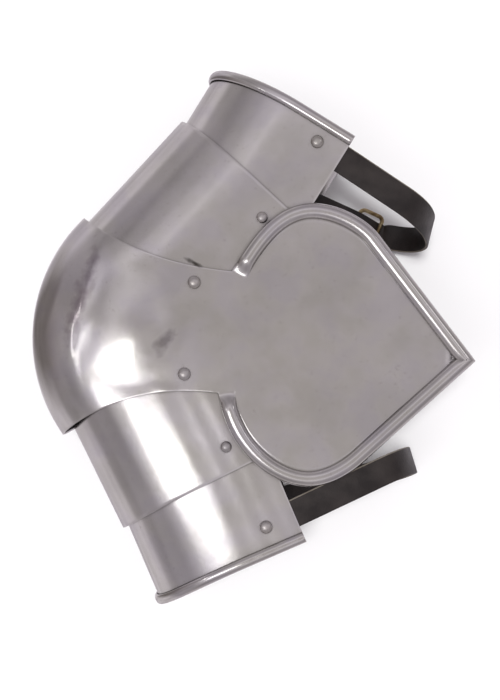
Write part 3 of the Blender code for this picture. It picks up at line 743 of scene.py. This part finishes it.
def strap_path(strap, near_rivet, near_along, far_along, bar, fold):
    """From inside the near wall, round the bend, under the buckle's outer bar and over its heel.

    Gives the points along the strap's middle, the direction across it at each, and where its end settles.
    """
    up = np.array([0.0, 0.0, 1.0])
    below = bar + far_along * BUCKLE_LENGTH - up * fold
    above = bar - far_along * STRAP_SETTLE + up * (fold + LEATHER + STRAP_AIR)
    near_end = near_rivet + near_along * strap.near_leg
    bend_along = np.append(direction(strap.bend_deg), 0.0)
    far_end = below + bend_along * (strap.far_leg - strap.bar_at - BUCKLE_LENGTH) + up * STRAP_LIFT
    reach = STRAP_BEND * HALF_TURN_HANDLE
    start = near_rivet - near_along * STRAP_TAIL
    straight = np.linspace(0.0, 1.0, STRAIGHT_STEPS, endpoint=False)
    path = [start + (near_end - start) * share for share in straight]
    bend = (near_end, near_end + near_along * reach, far_end + bend_along * reach, far_end)
    path += list(bezier(*bend, BEND_STEPS))
    bend_ends = len(path)
    settle = (far_end, far_end - bend_along * CHAPE_REACH, below + far_along * CHAPE_REACH, below)
    path += list(bezier(*settle, SETTLE_STEPS))
    wrap = (below, below - far_along * WRAP_UNDER, above + far_along * WRAP_OVER, above)
    path += list(bezier(*wrap, WRAP_STEPS))
    path += [above - far_along * strap.tip_past * share for share in np.linspace(0.0, 1.0, TIP_STEPS)]
    turns = [strap.near_deg, strap.bend_deg, strap.bend_deg, strap.far_deg]
    turning_ends = STRAIGHT_STEPS + BEND_STEPS_TURNING
    at = [STRAIGHT_STEPS, turning_ends, bend_ends, bend_ends + WRAP_STEPS_TURNING]
    turned = np.interp(np.arange(len(path)), at, turns)
    widths = [np.array([-math.sin(angle), math.cos(angle), 0.0]) for angle in np.radians(turned)]
    return np.array(path), widths, above


def punch(piece, places, radius):
    """Round holes through a strap, upright, each at its place."""
    for place in places:
        bm = bmesh.new()
        sizes = dict(radius1=radius * MM, radius2=radius * MM, depth=PUNCH_DEPTH * MM)
        bmesh.ops.create_cone(bm, cap_ends=True, segments=HOLE_SEGMENTS, **sizes)
        mesh = bpy.data.meshes.new("punch")
        bm.to_mesh(mesh)
        bm.free()
        tool = bpy.data.objects.new("punch", mesh)
        bpy.context.scene.collection.objects.link(tool)
        tool.location = (np.asarray(place) + SHIFT) * MM
        hole = piece.modifiers.new("hole", "BOOLEAN")
        hole.operation = "DIFFERENCE"
        hole.solver = "EXACT"
        hole.object = tool
        bpy.context.view_layer.update()
        evaluated = piece.evaluated_get(bpy.context.evaluated_depsgraph_get())
        made = bpy.data.meshes.new_from_object(evaluated)
        piece.modifiers.clear()
        piece.data = made
        bpy.data.objects.remove(tool)
    piece.data.set_sharp_from_angle(angle=math.radians(LEATHER_SHARP_DEG))


def strap_set(prefix, strap, tube, pivot, looks, body):
    """Strap, chape, buckle, tongue and their rivets inside one end plate."""
    steel, leather, cut_leather, brass = looks
    near_along = np.append(direction(strap.near_deg), 0.0)
    far_along = np.append(direction(strap.far_deg), 0.0)
    far_width = np.array([-far_along[1], far_along[0], 0.0])
    up = np.array([0.0, 0.0, 1.0])
    wall = COP_HALF_WIDTH - tube.level * LAP_STEP
    leather_z = wall - 0.5 * SHEET - TOUCH - 0.5 * LEATHER
    near_rivet = np.append(plan_point(tube, pivot, *strap.near), leather_z)
    far_rivet = np.append(plan_point(tube, pivot, *strap.far), -leather_z)
    fold = WIRE_RADIUS + TOUCH + 0.5 * LEATHER
    bar = far_rivet + far_along * strap.bar_at + up * fold
    hides = [leather, cut_leather]

    path = chape_path(bar, fold, far_rivet - far_along * STRAP_TAIL, far_along)
    widths = [far_width] * len(path)
    band(prefix + "_chape_skin", path, widths, CHAPE_WIDTH, hides, body, prefix + "_chape")
    path, widths, settled = strap_path(strap, near_rivet, near_along, far_along, bar, fold)
    skin = band(prefix + "_strap_skin", path, widths, STRAP_WIDTH, hides, body, prefix + "_strap")
    last_hole = strap.tip_past - 2.0 * HOLE_RADIUS
    punch(skin, [settled - far_along * step for step in HOLE_STEPS if step < last_hole], HOLE_RADIUS)

    frame_points = buckle_frame_points(bar, far_along, far_width)
    wire(prefix + "_buckle_ring", frame_points, True, WIRE_RADIUS, brass, body, prefix + "_buckle_frame")
    seat = WIRE_RADIUS + TOUCH + TONGUE_RADIUS
    knots = [bar + far_along * seat, bar + far_along * (seat + TONGUE_STRAIGHT) + up * TONGUE_ARCH]
    knots.append(bar + far_along * (BUCKLE_LENGTH - TONGUE_STRAIGHT) + up * (seat - TONGUE_DIP))
    knots.append(bar + far_along * (BUCKLE_LENGTH + TONGUE_PAST) + up * seat)
    tongue = list(bezier(*knots, TONGUE_STEPS)) + [knots[-1]]
    wire(prefix + "_buckle_pin", tongue, False, TONGUE_RADIUS, brass, body, prefix + "_buckle_tongue")

    lap = SHEET + TOUCH + LEATHER
    outer = wall + 0.5 * SHEET
    rivet(prefix + "_strap_rivet", near_rivet, outer, lap, False, steel, body)
    rivet(prefix + "_chape_rivet", far_rivet, outer, lap, True, steel, body)
    top = bar[2] - fold + 1.5 * LEATHER + TOUCH
    double = 2.0 * LEATHER + TOUCH
    fold_rivet = bar - far_along * (CHAPE_FOLD_BACK - CHAPE_RIVET_IN)
    rivet(prefix + "_fold_rivet", fold_rivet, top, double, False, steel, body)


def start_material(name, metallic, roughness):
    made = bpy.data.materials.new(name)
    made.use_nodes = True
    tree = made.node_tree
    shader = tree.nodes["Principled BSDF"]
    shader.inputs["Metallic"].default_value = metallic
    shader.inputs["Roughness"].default_value = roughness
    place = tree.nodes.new("ShaderNodeTexCoord").outputs["Object"]
    return made, tree, shader, place


def noise_node(tree, place, scale, detail, stretch=(1.0, 1.0, 1.0), turn=0.0):
    """Noise over the object's own metres, stretched along its axes after a turn about Z."""
    mapping = tree.nodes.new("ShaderNodeMapping")
    mapping.inputs["Scale"].default_value = stretch
    mapping.inputs["Rotation"].default_value = (0.0, 0.0, turn)
    texture = tree.nodes.new("ShaderNodeTexNoise")
    texture.inputs["Scale"].default_value = scale
    texture.inputs["Detail"].default_value = detail
    tree.links.new(place, mapping.inputs["Vector"])
    tree.links.new(mapping.outputs["Vector"], texture.inputs["Vector"])
    return texture.outputs["Fac"]


def ramp_node(tree, source, stops):
    """Colours along a value; each stop is its place and its colour."""
    ramp = tree.nodes.new("ShaderNodeValToRGB")
    elements = ramp.color_ramp.elements
    while len(elements) < len(stops):
        elements.new(0.5)
    for element, (at, colour) in zip(elements, stops):
        element.position = at
        element.color = (*colour, 1.0)
    tree.links.new(source, ramp.inputs["Fac"])
    return ramp.outputs["Color"]


def range_node(tree, source, low, high, to_low, to_high):
    spread = tree.nodes.new("ShaderNodeMapRange")
    spread.inputs["From Min"].default_value = low
    spread.inputs["From Max"].default_value = high
    spread.inputs["To Min"].default_value = to_low
    spread.inputs["To Max"].default_value = to_high
    tree.links.new(source, spread.inputs["Value"])
    return spread.outputs["Result"]


def math_node(tree, operation, *sources):
    node = tree.nodes.new("ShaderNodeMath")
    node.operation = operation
    for source, socket in zip(sources, node.inputs):
        tree.links.new(source, socket)
    return node.outputs["Value"]


def mix_node(tree, amount, first, second, blend="MIX"):
    mix = tree.nodes.new("ShaderNodeMix")
    mix.data_type = "RGBA"
    mix.blend_type = blend
    if isinstance(amount, float):
        mix.inputs[0].default_value = amount
    else:
        tree.links.new(amount, mix.inputs[0])
    for value, socket in ((first, mix.inputs[6]), (second, mix.inputs[7])):
        if isinstance(value, tuple):
            socket.default_value = (*value, 1.0)
        else:
            tree.links.new(value, socket)
    return mix.outputs[2]


def add_bump(tree, shader, layers):
    """Stacks bumps: each layer is a height, its strength and its depth in metres."""
    last = None
    for height, strength, depth in layers:
        bump = tree.nodes.new("ShaderNodeBump")
        bump.inputs["Strength"].default_value = strength
        bump.inputs["Distance"].default_value = depth
        tree.links.new(height, bump.inputs["Height"])
        if last:
            tree.links.new(last, bump.inputs["Normal"])
        last = bump.outputs["Normal"]
    tree.links.new(last, shader.inputs["Normal"])


def marking_tone(tree, place, marking):
    """One ragged patch, as a tone to multiply by: its own in the middle and white outside."""
    mapping = tree.nodes.new("ShaderNodeMapping")
    mapping.vector_type = "TEXTURE"
    mapping.inputs["Location"].default_value = ((marking.x + SHIFT[0]) * MM, (marking.y + SHIFT[1]) * MM, 0.0)
    mapping.inputs["Rotation"].default_value = (0.0, 0.0, math.radians(marking.turn_deg))
    mapping.inputs["Scale"].default_value = (marking.reach_x * MM, marking.reach_y * MM, 1.0)
    away = tree.nodes.new("ShaderNodeVectorMath")
    away.operation = "LENGTH"
    tree.links.new(place, mapping.inputs["Vector"])
    tree.links.new(mapping.outputs["Vector"], away.inputs[0])
    half = 0.5 * MARKING_RAGGED
    ragged = range_node(tree, noise_node(tree, place, RAGGED_SCALE, 4.0), 0.25, 0.75, -half, half)
    reach = math_node(tree, "ADD", away.outputs["Value"], ragged)
    return ramp_node(tree, reach, ((0.15, marking.tone), (0.95, WHITE)))


def polished_steel(name, tint, roughness, brush_turn, patches=()):
    """Hand-polished steel: fine brushing, soft planishing marks, faint stains, the darker patches and
    painted shadow given, and painted shade in corners.
    """
    made, tree, shader, place = start_material(name, 1.0, roughness)
    broad = noise_node(tree, place, BROAD_SCALE, 4.0)
    stains = noise_node(tree, place, TINT_SCALE, 2.5)
    specks = noise_node(tree, place, SPECK_SCALE, 3.0)
    brushing = noise_node(tree, place, BRUSH_SCALE, 4.0, BRUSH_STRETCH, brush_turn)
    plain, violet, olive = tint
    base = ramp_node(tree, stains, tuple(zip(TINT_STOPS, (olive, plain, violet))))
    base = mix_node(tree, 1.0, base, ramp_node(tree, broad, BROAD_SHADE), "MULTIPLY")
    base = mix_node(tree, 1.0, base, ramp_node(tree, specks, SPECK_SHADE), "MULTIPLY")
    # Each given patch multiplies the colour; on the cop one of them is a painted shadow in the gap under its
    # edge
    for patch in patches:
        base = mix_node(tree, 1.0, base, marking_tone(tree, place, patch), "MULTIPLY")
    # Painted shade: the colour darkens where occlusion finds steel close by, in corners, under laps and
    # round rivets
    corner = tree.nodes.new("ShaderNodeAmbientOcclusion")
    corner.samples = 6
    corner.inputs["Distance"].default_value = CORNER_REACH
    painted_corner_shade = ramp_node(tree, corner.outputs["AO"], PAINTED_CORNER_SHADE)
    tree.links.new(mix_node(tree, 1.0, base, painted_corner_shade, "MULTIPLY"), shader.inputs["Base Color"])
    spread = range_node(tree, stains, 0.3, 0.7, roughness - 0.02, roughness + 0.03)
    tree.links.new(spread, shader.inputs["Roughness"])
    planish = noise_node(tree, place, PLANISH_SCALE, 2.0)
    add_bump(tree, shader, ((planish, *PLANISH_BUMP), (brushing, *BRUSH_BUMP), (specks, *SPECK_BUMP)))
    return made


def dark_leather(name, tones, roughness):
    """Oiled leather with grain, pores and rubbed patches."""
    made, tree, shader, place = start_material(name, 0.0, roughness)
    rubbed = noise_node(tree, place, RUB_SCALE, 6.0)
    pores = noise_node(tree, place, PORE_SCALE, 2.0)
    cells = tree.nodes.new("ShaderNodeTexVoronoi")
    cells.inputs["Scale"].default_value = CELL_SCALE
    tree.links.new(place, cells.inputs["Vector"])
    colour = ramp_node(tree, rubbed, tuple(zip(RUB_STOPS, tones)))
    tree.links.new(colour, shader.inputs["Base Color"])
    spread = range_node(tree, rubbed, 0.3, 0.7, roughness + 0.1, roughness - 0.08)
    tree.links.new(spread, shader.inputs["Roughness"])
    add_bump(tree, shader, ((cells.outputs["Distance"], *CELL_BUMP), (pores, *PORE_BUMP)))
    shader.inputs["Specular IOR Level"].default_value = LEATHER_GLOSS
    return made


def aged_brass(name):
    """Cast brass, tarnished brown in patches and rubbed brighter and smoother between them."""
    made, tree, shader, place = start_material(name, 1.0, BRASS_ROUGHNESS)
    tarnish = noise_node(tree, place, TARNISH_SCALE, 5.0)
    tree.links.new(ramp_node(tree, tarnish, TARNISH_TONES), shader.inputs["Base Color"])
    tree.links.new(range_node(tree, tarnish, 0.35, 0.65, 0.5, 0.26), shader.inputs["Roughness"])
    add_bump(tree, shader, ((tarnish, *TARNISH_BUMP),))
    return made


def floor_material():
    made, tree, shader, place = start_material("pale_floor", 0.0, FLOOR_ROUGHNESS)
    mottle = noise_node(tree, place, FLOOR_SCALE, 3.0)
    tree.links.new(ramp_node(tree, mottle, FLOOR_TONES), shader.inputs["Base Color"])
    return made


def direction_of(tilt_deg, azimuth_deg):
    """The way towards something at a tilt off the vertical."""
    tilt, azimuth = math.radians(tilt_deg), math.radians(azimuth_deg)
    off = math.sin(tilt)
    return Vector((off * math.cos(azimuth), off * math.sin(azimuth), math.cos(tilt)))


def soft_box(name, tilt_deg, azimuth_deg, reach, size, power, roll_deg):
    """A soft lamp aimed at the object from a tilt off the vertical, its reach away in metres."""
    light = bpy.data.lights.new(name, "AREA")
    light.shape = "RECTANGLE"
    light.size, light.size_y = size
    light.energy = power
    lamp = bpy.data.objects.new(name, light)
    bpy.context.scene.collection.objects.link(lamp)
    place = direction_of(tilt_deg, azimuth_deg) * reach
    lamp.location = place
    roll = Quaternion((0.0, 0.0, 1.0), math.radians(roll_deg))
    lamp.rotation_euler = (place.to_track_quat("Z", "Y") @ roll).to_euler()


def overhead_sun():
    """Broad daylight for what is not metal: it casts the soft shadows and leaves no glint."""
    light = bpy.data.lights.new("overhead", "SUN")
    light.energy = SUN_STRENGTH
    light.angle = math.radians(SUN_SPREAD_DEG)
    lamp = bpy.data.objects.new("overhead", light)
    bpy.context.scene.collection.objects.link(lamp)
    lamp.rotation_euler = (0.0, math.radians(SUN_TILT_DEG), math.radians(SUN_AZIMUTH_DEG))
    lamp.visible_glossy = False


def studio_world():
    """The room that the steel mirrors: dim and cluttered, darker on one side, with a soft glow."""
    world = bpy.data.worlds.new("studio")
    bpy.context.scene.world = world
    world.use_nodes = True
    tree = world.node_tree
    background = tree.nodes["Background"]
    coordinates = tree.nodes.new("ShaderNodeTexCoord")
    split = tree.nodes.new("ShaderNodeSeparateXYZ")
    tree.links.new(coordinates.outputs["Generated"], split.inputs["Vector"])
    aside = math_node(tree, "ABSOLUTE", split.outputs["Y"])
    leftness = math_node(tree, "ADD", split.outputs["X"], aside)
    left = range_node(tree, leftness, *DARK_SIDE, 1.0, 0.0)
    dark_side = ramp_node(tree, split.outputs["Z"], DARK_TONES)
    pale_side = ramp_node(tree, split.outputs["Z"], ROOM_TONES)
    room = mix_node(tree, left, pale_side, dark_side)
    clutter = noise_node(tree, coordinates.outputs["Generated"], CLUTTER_SCALE, 3.0)
    room = mix_node(tree, 1.0, room, ramp_node(tree, clutter, CLUTTER_SHADE), "MULTIPLY")
    facing = tree.nodes.new("ShaderNodeVectorMath")
    facing.operation = "DOT_PRODUCT"
    facing.inputs[1].default_value = direction_of(GLOW_TILT_DEG, GLOW_AZIMUTH_DEG)
    tree.links.new(coordinates.outputs["Generated"], facing.inputs[0])
    near = range_node(tree, facing.outputs["Value"], GLOW_EDGE, 1.0, 0.0, 1.0)
    glow = ramp_node(tree, near, GLOW_TONES)
    tree.links.new(mix_node(tree, 1.0, room, glow, "ADD"), background.inputs["Color"])
    background.inputs["Strength"].default_value = 1.0


def pale_floor():
    bm = bmesh.new()
    bmesh.ops.create_grid(bm, x_segments=2, y_segments=2, size=FLOOR_HALF)
    mesh = bpy.data.meshes.new("floor")
    bm.to_mesh(mesh)
    bm.free()
    floor = bpy.data.objects.new("floor", mesh)
    mesh.materials.append(floor_material())
    bpy.context.scene.collection.objects.link(floor)
    floor.visible_glossy = False


def photo_camera():
    """Straight above the couter, turned and shifted as the photograph is."""
    data = bpy.data.cameras.new("camera")
    data.lens = CAMERA_LENS
    data.sensor_width = CAMERA_SENSOR
    data.shift_x, data.shift_y = CAMERA_SHIFT
    camera = bpy.data.objects.new("camera", data)
    bpy.context.scene.collection.objects.link(camera)
    camera.location = CAMERA_PLACE
    camera.rotation_euler = (0.0, 0.0, math.radians(CAMERA_TURN_DEG))
    bpy.context.scene.camera = camera


def main():
    steel = polished_steel("plate_steel", STEEL_TINT, STEEL_ROUGHNESS, STEEL_BRUSH_TURN, PATCHES_AND_PAINTED_SHADOW)
    rivet_steel = polished_steel("rivet_steel", RIVET_TINT, RIVET_ROUGHNESS, RIVET_BRUSH_TURN)
    leather = dark_leather("strap_leather", FACE_TONES, FACE_ROUGHNESS)
    cut_leather = dark_leather("cut_leather", CUT_TONES, CUT_ROUGHNESS)
    brass = aged_brass("buckle_brass")

    upper_link = plan_point(UPPER_LAME, UPPER_PIVOT, *UPPER_LINK)
    lower_link = plan_point(LOWER_LAME, LOWER_PIVOT, *LOWER_LINK)
    cop_shell(steel)
    plates = (
        (UPPER_LAME, UPPER_PIVOT, "upper_lame_body"),
        (UPPER_END, upper_link, "upper_end_body"),
        (LOWER_LAME, LOWER_PIVOT, "lower_lame_body"),
        (LOWER_END, lower_link, "lower_end_body"),
    )
    for seed, (tube, pivot, body) in enumerate(plates, FIRST_PLATE_SEED):
        tube_shell(tube, pivot, steel, body, float(seed))

    cop_face = COP_HALF_WIDTH + 0.5 * SHEET
    grip = 2.0 * SHEET + LAP_GAP
    stacks = (
        ("upper_cop_rivet", UPPER_PIVOT, cop_face, "cop_body", HEAD_RADIUS),
        ("lower_cop_rivet", LOWER_PIVOT, cop_face, "cop_body", HEAD_RADIUS),
        ("upper_lame_rivet", upper_link, cop_face - LAP_STEP, "upper_lame_body", LAME_HEAD_RADIUS),
        ("lower_lame_rivet", lower_link, cop_face - LAP_STEP, "lower_lame_body", LAME_HEAD_RADIUS),
    )
    for name, place, outer, body, head in stacks:
        rivet(name + "_near", place, outer, grip, False, rivet_steel, body, head)
        rivet(name + "_far", place, outer, grip, True, rivet_steel, body, head)
    looks = (rivet_steel, leather, cut_leather, brass)
    strap_set("upper", UPPER_STRAP, UPPER_END, upper_link, looks, "upper_end_body")
    strap_set("lower", LOWER_STRAP, LOWER_END, lower_link, looks, "lower_end_body")

    pale_floor()
    studio_world()
    bpy.context.scene.view_settings.view_transform = "Standard"
    for lamp in LAMPS:
        soft_box(*lamp)
    overhead_sun()
    photo_camera()


main()
